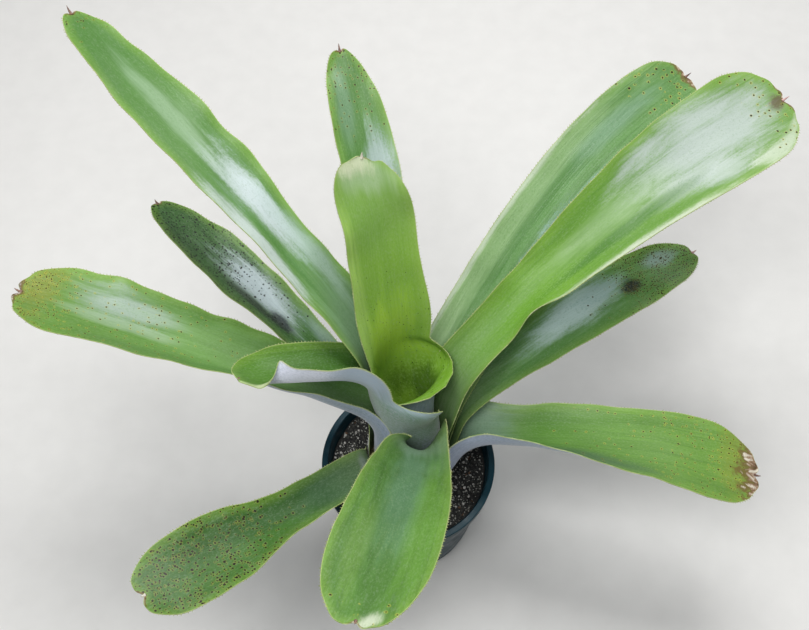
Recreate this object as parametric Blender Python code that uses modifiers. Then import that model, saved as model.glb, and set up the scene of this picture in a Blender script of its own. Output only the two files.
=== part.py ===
"""A bromeliad in a round nursery pot.

Twelve broad, finely toothed leaves are stacked as nested sheaths on a short leaning stem, which stands in
a plain hole in the potting mix. Metres, +Z up, origin at the middle of the pot's underside, +X to the
viewer's right and +Y away from the viewer.
"""

import math

import bmesh
import bpy
import numpy as np
from mathutils import Matrix, Vector, noise

MM = 0.001

# Pot
RIM_RADIUS = 75.0
RIM_HEIGHT = 10.0
POT_HEIGHT = 116.0
BODY_TOP_RADIUS = 71.0
BASE_RADIUS = 58.0
WALL = 2.2
FLOOR = 3.0
POT_STEPS = 48

# Potting mix
SOIL_TOP = 104.0
SOIL_RELIEF = 1.0
SEAT_GAP = 0.3

# Stem
HOLE_RADIUS = 37.0
HOLE_DEPTH = 26.0
STEM_STEPS = 40

# Rosette
LEAN_RIGHT = 12.0
LEAN_BACK = 6.0
ROSETTE_SHIFT = -3.0
INNER_ROOT_RADIUS = 9.5
INNER_ROOT_HEIGHT = 26.0
ROOT_STEP_OUT = 2.4
ROOT_STEP_DOWN = 2.0
SHEATH_RISE = 80.0
TALLEST_SHEATH = 72.0
SHEATH_STEP_DOWN = 4.5

# Leaf blades
BLADE_THICKNESS = 1.3
MARGIN_SHARE = 0.6
LEAF_ROWS = 24
LEAF_COLUMNS = 8
PATH_STEPS = 400
TOOTH_HEIGHT = 1.2
TOOTH_ROOT = 1.4
TOOTH_RADIUS = 0.9
TOOTH_EVERY = 4
MUCRO_RADIUS = 1.3

# The crown's axis curves sideways over this range of heights
DRIFT = (-25.0, 10.0)
DRIFT_LOW = 40.0
DRIFT_HIGH = 78.0

# One entry a leaf, youngest first. Lengths are in mm and angles in degrees. Heading is the plan direction
# of the blade before the rosette leans, and turn is how far it swings towards its tip. A wave is a bend of
# one margin: side (+1 left, -1 right, looking outwards), place along the leaf, reach, outward and upward.
LEAVES = {
    # Upright in the middle; its sheath wraps round to the right and forms the mouth of the tube
    "leaf_a": dict(heading=128, turn=-25, length=271, rise=60, tip_rise=50, sheath=108, sheath_w=92,
                   neck_w=34, max_w=30, max_at=0.72, tip_p=5.0, channel=30, tip_channel=20, mucro=5,
                   roll_base=-10, wrap=2.6, hold=0.68, fall=0.26, overlap=0.55, drift=(2, -1), lip=10,
                   squash=0.48, lip_at=95, lean=9, columns=16, shoulder_rows=14),
    # Long and narrow, with a kink in its right margin
    "leaf_h": dict(heading=152, turn=-23, length=474, rise=43, tip_rise=-2, sheath=88, max_w=29,
                   tip_p=1.7, channel=25, roll=10, mucro=9,
                   waves=[(-1, 0.62, 0.04, 4, 0), (-1, 0.48, 0.08, -5, 0)]),
    # Short, deeply channelled, its tip rolled up
    "leaf_b": dict(heading=194, turn=4, length=222, rise=20, tip_rise=-8, sheath=88, sheath_w=50,
                   neck_w=30, hold=0.88, fall=0.11, overlap=-0.45, columns=14, shoulder_rows=8, max_w=31,
                   max_at=0.75, tip_p=3.5, channel=60, tip_channel=85, roll=38, roll_base=20, mucro=2,
                   curl=45, curl_from=0.82,
                   waves=[(1, 0.86, 0.035, -6, 7), (1, 0.62, 0.07, 0, 7), (1, 0.96, 0.03, 0, -10)]),
    # The largest, with a notch in its lower margin
    "leaf_k": dict(heading=40, turn=-9, length=455, drift=(15, -8), rise=47, tip_rise=14, sheath=85,
                   neck_w=22, max_w=43, max_at=0.88, waist=0.3, channel=60, tip_channel=8, roll=10,
                   mucro=7, waves=[(-1, 0.4, 0.04, -6, 2)]),
    # Broad, towards the viewer
    "leaf_c": dict(heading=-107.5, turn=-5, length=336, drift=(12, -24), bend=70, rise=48, tip_rise=15,
                   sheath=50, sheath_w=24, neck_w=26, max_w=36, channel=60, roll=18, mucro=3,
                   waves=[(-1, 0.26, 0.08, -17, -2), (1, 0.19, 0.07, -3, 18)]),
    "leaf_j": dict(heading=61, turn=-24, length=430, bend=60, rise=40, tip_rise=12, neck_w=29, max_w=32,
                   max_at=0.85, tip_p=3.4, waist=0.35, channel=25, roll=10, mucro=7),
    "leaf_i": dict(heading=110, length=355, rise=42, tip_rise=20, neck_w=19, max_w=26, tip_p=1.9, mucro=7),
    "leaf_l": dict(heading=34, length=331, rise=34, tip_rise=-5, neck_w=17, max_w=27, max_at=0.65),
    "leaf_f": dict(heading=175, turn=-7, length=360, rise=26, tip_rise=2, neck_w=31, max_w=40,
                   max_at=0.8, tip_p=3.4, channel=85, tip_channel=20, flat=2.0, roll=12,
                   roll_base=25),
    # Its near margin stands up beside the pot
    "leaf_d": dict(heading=-10, length=297, rise=34, tip_rise=-8, neck_w=34, max_w=41, max_at=0.75,
                   channel=85, flat=2.0, roll_base=-35, waves=[(1, 0.16, 0.1, 2, 8)]),
    "leaf_g": dict(heading=149, turn=-10, length=305, rise=26, tip_rise=4, neck_w=14, max_w=28,
                   tip_p=1.7, channel=50, roll=15, mucro=5),
    "leaf_e": dict(heading=-141, turn=-3, length=272, rise=12, tip_rise=2, neck_w=19, waist=0.5, max_w=31,
                   tip_p=3.6, channel=50, roll_base=8, mucro=4),
}
LEAF_DEFAULTS = dict(turn=0, bend=50, tip_rise=0, arch=1.0, sheath_w=36, neck_w=24, max_at=0.75,
                     tip_p=2.8, channel=40, tip_channel=12, flat=1.0, roll=0, roll_base=0, wrap=2.2,
                     hold=0.0, fall=None, waist=0.0, drift=(0, 0), overlap=0.0, lip=0.0, squash=0.0,
                     lip_at=100, lean=0, columns=LEAF_COLUMNS, shoulder_rows=0, curl=0, curl_from=0.8,
                     mucro=6, waves=[])
YOUNG_LEAVES = ("leaf_a", "leaf_k")
OLD_LEAVES = ("leaf_l", "leaf_g", "leaf_e")

COLOURS = {
    "pot": ("#1E3A3C", 0.35),
    "soil": ("#17130F", 0.95),
    "stem": ("#8A7F5C", 0.80),
    "young": ("#7FA63C", 0.45),
    "mature": ("#6C9650", 0.48),
    "old": ("#5A7F4C", 0.52),
}


def clear_scene():
    for item in list(bpy.data.objects):
        bpy.data.objects.remove(item, do_unlink=True)
    for group in list(bpy.data.collections):
        bpy.data.collections.remove(group)


def new_collection(name, hidden=False):
    group = bpy.data.collections.new(name)
    bpy.context.scene.collection.children.link(group)
    group.hide_render = hidden
    return group


def linear(hex_colour):
    values = [int(hex_colour[i:i + 2], 16) / 255.0 for i in (1, 3, 5)]
    return [v / 12.92 if v <= 0.04045 else ((v + 0.055) / 1.055) ** 2.4 for v in values] + [1.0]


def new_material(name, key):
    colour, roughness = COLOURS[key]
    material = bpy.data.materials.new(name)
    material.use_nodes = True
    shader = material.node_tree.nodes["Principled BSDF"]
    shader.inputs["Base Color"].default_value = linear(colour)
    shader.inputs["Roughness"].default_value = roughness
    shader.inputs["Metallic"].default_value = 0.0
    return material


def mesh_object(name, bm, group, material=None):
    mesh = bpy.data.meshes.new(name)
    bm.to_mesh(mesh)
    bm.free()
    item = bpy.data.objects.new(name, mesh)
    group.objects.link(item)
    if material:
        mesh.materials.append(material)
    return item


def turned(name, profile, steps, group, material=None):
    """A profile of (radius, height) pairs in mm, outer side first and from the top down, turned about Z."""
    bm = bmesh.new()
    points = [bm.verts.new((radius * MM, 0.0, height * MM)) for radius, height in profile]
    for first, second in zip(points, points[1:]):
        bm.edges.new((first, second))
    item = mesh_object(name, bm, group, material)
    screw = item.modifiers.new("turn", "SCREW")
    screw.axis = "Z"
    screw.steps = steps
    screw.render_steps = steps
    screw.use_merge_vertices = True
    screw.merge_threshold = 0.00005
    return item


def join_shapes(item, other, operation):
    boolean = item.modifiers.new(operation.lower(), "BOOLEAN")
    boolean.operation = operation
    boolean.solver = "EXACT"
    boolean.object = other
    return boolean


def apply_modifiers(item):
    graph = bpy.context.evaluated_depsgraph_get()
    mesh = bpy.data.meshes.new_from_object(item.evaluated_get(graph))
    old = item.data
    item.modifiers.clear()
    item.data = mesh
    bpy.data.meshes.remove(old)


# Pot: a tapered wall with a floor and an overhanging rim band

def build_pot(group):
    inner_top = BODY_TOP_RADIUS - WALL
    inner_base = BASE_RADIUS - WALL
    band_bottom = POT_HEIGHT - RIM_HEIGHT
    profile = [
        (inner_top, POT_HEIGHT - 0.6),
        (inner_top + 0.6, POT_HEIGHT),
        (RIM_RADIUS - 1.0, POT_HEIGHT),
        (RIM_RADIUS, POT_HEIGHT - 1.0),
        (RIM_RADIUS - 0.6, band_bottom + 0.8),
        (RIM_RADIUS - 1.4, band_bottom),
        (BODY_TOP_RADIUS + 0.2, band_bottom),
        (BODY_TOP_RADIUS, band_bottom - 0.6),
        (BASE_RADIUS + 0.6, 2.0),
        (BASE_RADIUS - 1.0, 0.0),
        (0.0, 0.0),
    ]
    inside = [
        (0.0, FLOOR),
        (inner_base - 1.0, FLOOR),
        (inner_base, FLOOR + 1.0),
        (inner_top, POT_HEIGHT - 0.6),
    ]
    return turned("pot", profile + inside, POT_STEPS, group, new_material("pot plastic", "pot"))


def pot_inner_radius(height):
    share = (height - FLOOR) / (POT_HEIGHT - FLOOR)
    return BASE_RADIUS - WALL + share * (BODY_TOP_RADIUS - BASE_RADIUS)


# Potting mix: fills the pot, with a slightly uneven top and a plain round hole for the stem

def build_soil(group, cutters):
    edge_top = pot_inner_radius(SOIL_TOP) - SEAT_GAP - 0.2
    edge_base = pot_inner_radius(FLOOR + 2.0) - SEAT_GAP - 0.2
    rings = [8, 16, 24, 32, 40, 48, 56, 63]
    profile = [(0.0, SOIL_TOP)] + [(r, SOIL_TOP) for r in rings] + [
        (edge_top, SOIL_TOP),
        (edge_base, FLOOR + SEAT_GAP + 1.5),
        (edge_base - 2.0, FLOOR + SEAT_GAP),
        (0.0, FLOOR + SEAT_GAP),
    ]
    soil = turned("soil", profile, 40, group, new_material("potting mix", "soil"))
    apply_modifiers(soil)
    for vertex in soil.data.vertices:
        radius = math.hypot(vertex.co.x, vertex.co.y) / MM
        if vertex.co.z > (SOIL_TOP - 1.0) * MM and HOLE_RADIUS + 5 < radius < edge_top - 1:
            spot = Vector((vertex.co.x * 60, vertex.co.y * 60, 3.0))
            vertex.co.z += SOIL_RELIEF * noise.noise(spot) * MM
    hole = turned("stem hole", [
        (0.0, SOIL_TOP + 8), (HOLE_RADIUS + SEAT_GAP, SOIL_TOP + 8),
        (HOLE_RADIUS + SEAT_GAP, SOIL_TOP - HOLE_DEPTH), (0.0, SOIL_TOP - HOLE_DEPTH),
    ], STEM_STEPS, cutters)
    hole.location.x = ROSETTE_SHIFT * MM
    hole.display_type = "WIRE"
    hole.hide_render = True
    join_shapes(soil, hole, "DIFFERENCE")
    return soil


# Stem: a round stock in the hole, topped by the leaning cone that the sheaths sit on

def build_stem(group, lean):
    stock = turned("stem", [
        (0.0, SOIL_TOP - 1), (HOLE_RADIUS, SOIL_TOP - 1),
        (HOLE_RADIUS, SOIL_TOP - HOLE_DEPTH + SEAT_GAP), (0.0, SOIL_TOP - HOLE_DEPTH + SEAT_GAP),
    ], STEM_STEPS, group, new_material("stem", "stem"))
    stock.location.x = ROSETTE_SHIFT * MM
    half = BLADE_THICKNESS / 2
    slope = ROOT_STEP_DOWN / ROOT_STEP_OUT
    top = INNER_ROOT_HEIGHT - SEAT_GAP - slope * half
    outer_radius = HOLE_RADIUS
    cone_height = top - slope * (outer_radius - INNER_ROOT_RADIUS)
    inner_radius = INNER_ROOT_RADIUS - 5.0
    inner_height = top - slope * (inner_radius - INNER_ROOT_RADIUS)
    cone = turned("crown", [
        (0.0, inner_height), (inner_radius, inner_height), (outer_radius, cone_height),
        (outer_radius, cone_height - 4), (outer_radius - 9, cone_height - 12), (0.0, cone_height - 12),
    ], STEM_STEPS, group)
    cone.matrix_world = lean
    bpy.context.view_layer.update()
    join_shapes(stock, cone, "UNION")
    bpy.context.view_layer.update()
    apply_modifiers(stock)
    bpy.data.objects.remove(cone, do_unlink=True)
    return stock


# Leaf law: where a point of a leaf lies, from its place u along the leaf and v across it

def smooth(share):
    share = np.clip(share, 0.0, 1.0)
    return share * share * (3.0 - 2.0 * share)


def leaf_path(leaf):
    """Midrib points and the across and up directions along it, with the half width and channel angle."""
    length, sheath, bend = leaf["length"], leaf["sheath"], leaf["bend"]
    s = np.linspace(0.0, length, PATH_STEPS + 1)
    bent = smooth((s - sheath) / bend)
    blade = np.clip((s - sheath - bend / 2) / (length - sheath - bend / 2), 0.0, 1.0) ** leaf["arch"]
    rise = SHEATH_RISE * (1 - bent) + bent * (leaf["rise"] + (leaf["tip_rise"] - leaf["rise"]) * blade)
    rise = rise + leaf["curl"] * smooth((s / length - leaf["curl_from"]) / (1 - leaf["curl_from"]))
    heading = leaf["heading"] + 2 * leaf["turn"] * smooth((s - sheath) / (length - sheath) / 2)
    rise, heading = np.radians(rise), np.radians(heading)
    along = np.stack([np.cos(rise) * np.cos(heading), np.cos(rise) * np.sin(heading), np.sin(rise)], 1)
    middle = np.zeros((len(s), 3))
    start = math.radians(leaf["heading"])
    middle[0] = (leaf["root_r"] * math.cos(start), leaf["root_r"] * math.sin(start), leaf["root_z"])
    middle[1:] = middle[0] + np.cumsum((along[1:] + along[:-1]) / 2, 0) * length / PATH_STEPS
    radius = np.hypot(middle[:, 0], middle[:, 1])

    # A blade keeps the sideways shift that its sheath ends with.
    held = np.clip((s - sheath + bend / 2) / bend, 0.0, 1.0)
    reached = np.where(s < sheath - bend / 2, s, sheath - bend / 2 + bend * (held - held ** 2 / 2))
    height = np.interp(reached, s, middle[:, 2])
    shift = np.array(DRIFT) + np.array(leaf["drift"])
    middle[:, :2] += smooth((height - DRIFT_LOW) / DRIFT_HIGH)[:, None] * shift

    # The section is level in the sheath and square to the midrib in the blade.
    tilt = np.radians(90.0) * (1 - bent) + rise * bent
    axis = np.stack([np.cos(tilt) * np.cos(heading), np.cos(tilt) * np.sin(heading), np.sin(tilt)], 1)
    level = np.stack([-np.sin(heading), np.cos(heading), np.zeros_like(heading)], 1)
    upward = np.cross(axis, level)
    roll = np.radians(leaf["roll_base"] * bent * (1 - blade) + leaf["roll"] * blade)[:, None]
    across = np.cos(roll) * level + np.sin(roll) * upward
    up = np.cos(roll) * upward - np.sin(roll) * level

    u = s / length
    neck = (sheath + bend / 2) / length
    widest = max(leaf["max_at"], neck + 0.1)
    fall = smooth((u / neck - leaf["hold"]) / (leaf["fall"] or 1 - leaf["hold"]))
    width = leaf["sheath_w"] + (leaf["neck_w"] - leaf["sheath_w"]) * fall
    waist = max(neck, leaf["waist"])
    outer = leaf["neck_w"] + (leaf["max_w"] - leaf["neck_w"]) * smooth((u - waist) / (widest - waist))
    width = np.where(u >= neck, outer, width)
    end = np.clip((u - widest) / (1 - widest), 0.0, 1.0)
    tip = leaf["max_w"] * np.sqrt(np.clip(1 - end ** leaf["tip_p"], 0.0, 1.0))
    width = np.where(u >= widest, tip, width)
    width = np.where(s < sheath + 0.6 * bend, np.minimum(width, leaf["wrap"] * radius), width)
    channel = leaf["tip_channel"] + (leaf["channel"] - leaf["tip_channel"]) * (1 - blade) ** leaf["flat"]
    channel = np.radians(channel) * np.where(u > widest, width / leaf["max_w"], 1.0)
    share = smooth((s - 0.8 * sheath) / (1.1 * bend + 0.2 * sheath))
    angle = np.maximum(width / np.maximum(radius, 1.0) * (1 - share) + channel * share, 0.001)
    return middle, across, up, width, angle, 1 - fall


def leaf_points(leaf, places, sides):
    """Points in mm at each place u in 0..1 along the leaf and each side v in -1..1 across it."""
    values = leaf_path(leaf)
    where = np.asarray(places) * PATH_STEPS
    low = np.clip(where.astype(int), 0, PATH_STEPS - 1)
    share = where - low
    picked = []
    for value in values:
        weight = share.reshape((-1,) + (1,) * (value.ndim - 1))
        picked.append(value[low] * (1 - weight) + value[low + 1] * weight)
    middle, across, up, width, angle, shoulder = picked
    v = np.asarray(sides)[None]
    u = np.asarray(places)[:, None]
    bow = (width / angle)[:, None]
    turn = angle[:, None] * v * (1 - leaf["overlap"] * np.sign(v) * shoulder[:, None])
    x = bow * np.sin(turn)
    z = bow * (1 - np.cos(turn))
    mouth = smooth((u * leaf["length"] - leaf["lip_at"] + 40) / 50) * shoulder[:, None]
    mouth = mouth * smooth((-v - 0.1) / 0.6)
    flare = leaf["lip"] * mouth
    z = z * (1 - leaf["squash"] * mouth)
    x = x + flare * np.sin(turn) + leaf["lean"] * smooth((u - 0.8) / 0.2)
    z = z - flare * np.cos(turn)
    for side, place, reach, outward, upward in leaf["waves"]:
        bump = np.exp(-((u - place) / reach) ** 2) * np.clip(side * v, 0.0, 1.0) ** 2
        x = x + side * bump * outward
        z = z + bump * upward
    return middle[:, None] + x[..., None] * across[:, None] + z[..., None] * up[:, None]


def leaf_rows(leaf):
    """Places along a leaf, closer together at the rounded tip and where the sheath's shoulder falls away."""
    even = np.linspace(0.0, 1.0, LEAF_ROWS + 1)
    places = 1.0 - (1.0 - even) ** 1.35 * 0.9985 - 0.0015
    if leaf["shoulder_rows"]:
        neck = (leaf["sheath"] + leaf["bend"] / 2) / leaf["length"]
        first, last = neck * leaf["hold"], neck * (leaf["hold"] + leaf["fall"])
        places = places[(places < first - 0.012) | (places > last + 0.012)]
        places = np.sort(np.append(places, np.linspace(first, last, leaf["shoulder_rows"])))
    return places


def add_spike(spikes, name, start, direction, radius, length):
    bm = bmesh.new()
    bmesh.ops.create_cone(bm, cap_ends=True, segments=3, radius1=radius * MM, radius2=0.12 * MM,
                          depth=length * MM)
    turn = Vector(direction).to_track_quat("Z", "Y").to_matrix().to_4x4()
    place = Matrix.Translation(Vector(start) * MM) @ turn @ Matrix.Translation((0, 0, length * MM / 2))
    bmesh.ops.transform(bm, matrix=place, verts=bm.verts)
    return mesh_object(name, bm, spikes)


def build_leaf(name, leaf, group, spikes, rosette):
    columns = leaf["columns"]
    places = leaf_rows(leaf)
    rows = len(places) - 1
    sides = np.linspace(-1.0, 1.0, columns + 1)
    points = leaf_points(leaf, places, sides)
    bm = bmesh.new()
    bmesh.ops.create_grid(bm, x_segments=columns, y_segments=rows, size=1.0)
    for vertex in bm.verts:
        column = round((vertex.co.x + 1) / 2 * columns)
        row = round((vertex.co.y + 1) / 2 * rows)
        vertex.index = row * (columns + 1) + column
        vertex.co = Vector(points[row, column]) * MM
    bmesh.ops.triangulate(bm, faces=bm.faces)
    order = [vertex.index for vertex in bm.verts]
    green = "young" if name in YOUNG_LEAVES else "old" if name in OLD_LEAVES else "mature"
    item = mesh_object(name, bm, group, new_material(name, green))

    # Thinner at the margins than along the middle
    thick = item.vertex_groups.new(name="thick")
    for vertex, place in zip(item.data.vertices, order):
        side = sides[place % (columns + 1)]
        thick.add([vertex.index], 1.0 - side ** 4, "REPLACE")
    shell = item.modifiers.new("thickness", "SOLIDIFY")
    shell.thickness = BLADE_THICKNESS * MM
    shell.offset = 0.0
    shell.vertex_group = "thick"
    shell.thickness_vertex_group = MARGIN_SHARE

    # A few of the marginal teeth at true size, each on the middle of a margin's edge, and the pointed end
    first = np.searchsorted(places, (leaf["sheath"] + leaf["bend"]) / leaf["length"])
    for row in range(first, rows - 1, TOOTH_EVERY):
        middle = (points[row] + points[row + 1]) / 2
        forward = points[row + 1] - points[row]
        for side, tip, inner in ((0, 0, 1), (1, columns, columns - 1)):
            outward = middle[tip] - middle[inner]
            outward /= np.linalg.norm(outward)
            along = forward[tip] / np.linalg.norm(forward[tip])
            start = middle[tip] - TOOTH_ROOT * outward
            add_spike(spikes, f"{name} tooth {row} {side}", start, outward + 0.35 * along,
                      TOOTH_RADIUS, TOOTH_HEIGHT + TOOTH_ROOT)
    end = leaf_points(leaf, np.array([0.985, 1.0]), np.array([0.0]))[:, 0]
    along = (end[1] - end[0]) / np.linalg.norm(end[1] - end[0])
    add_spike(spikes, name + " point", end[1] - 3.5 * along, along, MUCRO_RADIUS, leaf["mucro"] + 3.5)

    union = item.modifiers.new("teeth", "BOOLEAN")
    union.operation = "UNION"
    union.solver = "EXACT"
    union.operand_type = "COLLECTION"
    union.collection = spikes
    bpy.context.view_layer.update()
    apply_modifiers(item)
    for spike in list(spikes.objects):
        bpy.data.objects.remove(spike, do_unlink=True)
    item.data.shade_smooth()
    item.data.set_sharp_from_angle(angle=math.radians(50))
    item.parent = rosette
    return item


def main():
    clear_scene()
    plant = new_collection("bromeliad")
    cutters = new_collection("cutters", hidden=True)
    spikes = new_collection("spikes", hidden=True)

    rosette = bpy.data.objects.new("rosette", None)
    plant.objects.link(rosette)
    rosette.location = (ROSETTE_SHIFT * MM, 0.0, SOIL_TOP * MM)
    rosette.rotation_euler = (math.radians(-LEAN_BACK), math.radians(LEAN_RIGHT), 0.0)
    bpy.context.view_layer.update()

    build_pot(plant)
    build_soil(plant, cutters)
    build_stem(plant, rosette.matrix_world.copy())
    for index, (name, leaf) in enumerate(LEAVES.items()):
        leaf = {**LEAF_DEFAULTS, "sheath": TALLEST_SHEATH - SHEATH_STEP_DOWN * index, **leaf}
        leaf["root_r"] = INNER_ROOT_RADIUS + ROOT_STEP_OUT * index
        leaf["root_z"] = INNER_ROOT_HEIGHT - ROOT_STEP_DOWN * index
        build_leaf(name, leaf, plant, spikes, rosette)
    bpy.data.collections.remove(spikes)
    for name in ("pot", "stem"):
        mesh = bpy.data.objects[name].data
        mesh.shade_smooth()
        mesh.set_sharp_from_angle(angle=math.radians(35))


main()
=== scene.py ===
import math
import random

import bpy
import numpy as np
from mathutils import Euler, Matrix, Vector


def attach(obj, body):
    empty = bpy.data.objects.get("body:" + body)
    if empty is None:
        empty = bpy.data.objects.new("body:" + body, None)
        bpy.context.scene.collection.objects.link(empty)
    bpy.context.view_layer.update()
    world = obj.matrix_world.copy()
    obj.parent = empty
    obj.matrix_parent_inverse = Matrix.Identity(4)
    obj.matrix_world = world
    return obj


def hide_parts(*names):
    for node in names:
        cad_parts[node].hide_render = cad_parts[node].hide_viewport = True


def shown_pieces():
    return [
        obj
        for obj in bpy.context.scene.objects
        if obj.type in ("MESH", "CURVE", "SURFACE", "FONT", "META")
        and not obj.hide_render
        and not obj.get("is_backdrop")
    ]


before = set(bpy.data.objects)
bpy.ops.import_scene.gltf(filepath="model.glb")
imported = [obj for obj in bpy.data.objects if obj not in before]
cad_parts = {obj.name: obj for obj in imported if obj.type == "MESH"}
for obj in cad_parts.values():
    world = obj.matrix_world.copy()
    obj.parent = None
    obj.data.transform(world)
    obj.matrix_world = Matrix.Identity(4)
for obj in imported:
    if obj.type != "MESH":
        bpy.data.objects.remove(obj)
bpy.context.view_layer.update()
scene = bpy.context.scene
mm = 0.001
print("frame loaded")


# small helpers

def linear(hexCode):
    # sRGB hex to the linear colour that the shaders take
    parts = [int(hexCode[i:i + 2], 16) / 255 for i in (1, 3, 5)]
    return [p / 12.92 if p <= 0.04045 else ((p + 0.055) / 1.055) ** 2.4 for p in parts] + [1.0]


def addNode(tree, kind, inputs=None, stops=None, **settings):
    # colours come in as sRGB hex, and a node stands for its first output
    item = tree.nodes.new(kind)
    for name, value in settings.items():
        setattr(item, name, value)
    for socket, value in (inputs or {}).items():
        if isinstance(value, bpy.types.Node):
            value = value.outputs[0]
        if isinstance(value, bpy.types.NodeSocket):
            tree.links.new(value, item.inputs[socket])
        elif isinstance(value, str) and value.startswith("#"):
            item.inputs[socket].default_value = linear(value)
        else:
            item.inputs[socket].default_value = value
    if stops:
        marks = item.color_ramp.elements
        while len(marks) < len(stops):
            marks.new(0.5)
        for mark, (at, colour) in zip(marks, stops):
            mark.position = at
            mark.color = linear(colour)
    return item


def newSkin(name):
    skin = bpy.data.materials.new(name)
    skin.use_nodes = True
    skin.node_tree.nodes.clear()
    return skin, skin.node_tree


def tint(tree, colour, value, reach, share, tone):
    # lays a tone over a colour; its share goes from one end to the other as the value crosses its reach
    amount = addNode(tree, "ShaderNodeMapRange", {
        "Value": value, "From Min": reach[0], "From Max": reach[1], "To Min": share[0], "To Max": share[1]})
    mixed = addNode(tree, "ShaderNodeMix", {0: amount, 6: colour, 7: tone}, data_type="RGBA")
    return mixed.outputs[2]


def plainSkin(name, stops, scale, detail=4.0, uneven=0.5, stretch=(1, 1, 1), roughness=0.9, strength=0.0,
              depth=0.0003):
    # one noise gives both the tones and the relief
    skin, tree = newSkin(name)
    where = addNode(tree, "ShaderNodeMapping", {
        "Vector": addNode(tree, "ShaderNodeTexCoord").outputs["Object"], "Scale": stretch})
    patch = addNode(tree, "ShaderNodeTexNoise", {
        "Vector": where, "Scale": scale, "Detail": detail, "Roughness": uneven})
    tone = addNode(tree, "ShaderNodeValToRGB", {"Fac": patch}, stops=stops)
    relief = addNode(tree, "ShaderNodeBump", {"Strength": strength, "Distance": depth, "Height": patch})
    face = addNode(tree, "ShaderNodeBsdfPrincipled", {"Base Color": tone, "Roughness": roughness, "Normal": relief})
    addNode(tree, "ShaderNodeOutputMaterial", {"Surface": face})
    return skin


def addObject(name, points, faces=(), edges=()):
    mesh = bpy.data.meshes.new(name)
    mesh.from_pydata([tuple(p) for p in points], list(edges), list(faces))
    mesh.update()
    item = bpy.data.objects.new(name, mesh)
    scene.collection.objects.link(item)
    return item


def bakeModifiers(item):
    bpy.context.view_layer.update()
    graph = bpy.context.evaluated_depsgraph_get()
    mesh = bpy.data.meshes.new_from_object(item.evaluated_get(graph))
    old = item.data
    item.modifiers.clear()
    item.data = mesh
    bpy.data.meshes.remove(old)


def softShade(item, angle):
    item.data.shade_smooth()
    item.data.set_sharp_from_angle(angle=math.radians(angle))


def startTree(name, labels):
    # a geometry tree with named inputs
    tree = bpy.data.node_groups.new(name, "GeometryNodeTree")
    kinds = {"Geometry": "NodeSocketGeometry", "Seed": "NodeSocketInt", "Material": "NodeSocketMaterial"}
    for label in ("Geometry", *labels, "Seed", "Material"):
        tree.interface.new_socket(label, in_out="INPUT", socket_type=kinds.get(label, "NodeSocketFloat"))
    tree.interface.new_socket("Geometry", in_out="OUTPUT", socket_type="NodeSocketGeometry")
    return tree, addNode(tree, "NodeGroupInput").outputs


def endTree(tree, geometry, material):
    dressed = addNode(tree, "GeometryNodeSetMaterial", {"Geometry": geometry, "Material": material})
    addNode(tree, "NodeGroupOutput", {"Geometry": dressed})


def growOn(item, tree, values):
    # an input is known by its socket's identifier, and all are set before the tree first runs
    modifier = item.modifiers.new("grown", "NODES")
    modifier.node_group = tree
    for socket in tree.interface.items_tree:
        if socket.item_type == "SOCKET" and socket.in_out == "INPUT" and socket.name in values:
            modifier[socket.identifier] = values[socket.name]
    bakeModifiers(item)


def place(item, node):
    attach(item, "root")
    if node:
        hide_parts(node)


# camera, light and floor

view = dict(target=(-0.0033, 0.147, 0.116), elevation=60.0, distance=1.047, lens=50.0, sensor=36.0, nearest=0.01)
studio = dict(air="#e9ebee", airStrength=0.18, floorHalf=4.0)

camera = bpy.data.objects.new("camera", bpy.data.cameras.new("camera"))
scene.collection.objects.link(camera)
camera.data.lens = view["lens"]
camera.data.sensor_width = view["sensor"]
camera.data.clip_start = view["nearest"]
rise = math.radians(view["elevation"])
back = Vector((0.0, -math.cos(rise), math.sin(rise)))
camera.location = Vector(view["target"]) + back * view["distance"]
camera.rotation_euler = back.to_track_quat("Z", "Y").to_euler()
scene.camera = camera

lamps = [
    dict(name="overhead softbox", spot=(0.1, 0.6, 1.6), aim=(0.0, 0.12, 0.15), size=(0.9, 0.6), power=17.0),
    dict(name="front softbox", spot=(-0.3, -0.5, 1.6), aim=(0.0, 0.1, 0.2), size=(0.8, 0.8), power=14.0),
    dict(name="back rim", spot=(0.9, 1.7, 0.9), aim=(0.0, 0.1, 0.25), size=(0.8, 0.6), power=5.0),
]
for lamp in lamps:
    data = bpy.data.lights.new(lamp["name"], "AREA")
    data.shape = "RECTANGLE"
    data.size, data.size_y = lamp["size"]
    data.energy = lamp["power"]
    item = bpy.data.objects.new(lamp["name"], data)
    scene.collection.objects.link(item)
    item.location = lamp["spot"]
    item.rotation_euler = (Vector(lamp["spot"]) - Vector(lamp["aim"])).to_track_quat("Z", "Y").to_euler()

world = bpy.data.worlds.new("studio")
scene.world = world
world.use_nodes = True
world.node_tree.nodes["Background"].inputs["Color"].default_value = linear(studio["air"])
world.node_tree.nodes["Background"].inputs["Strength"].default_value = studio["airStrength"]
scene.view_settings.view_transform = "Standard"

half = studio["floorHalf"]
floor = addObject("floor", [(-half, -half, 0), (half, -half, 0), (half, half, 0), (-half, half, 0)], [(0, 1, 2, 3)])
# rolled background paper, almost even, with a very faint fibre
floor.data.materials.append(plainSkin("matt studio paper", [(0.3, "#e2e1de"), (0.7, "#e6e5e2")], 40.0))
floor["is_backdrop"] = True
print("camera, light and floor set")


# pot: turned from a rounded profile

potForm = dict(rim=75.0, rimHeight=10.0, height=116.0, bodyTop=71.0, base=58.0, wall=2.2, floor=3.0, neckDrop=7.0,
               footBand=16.0, footLift=1.2, steps=144)


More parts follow.
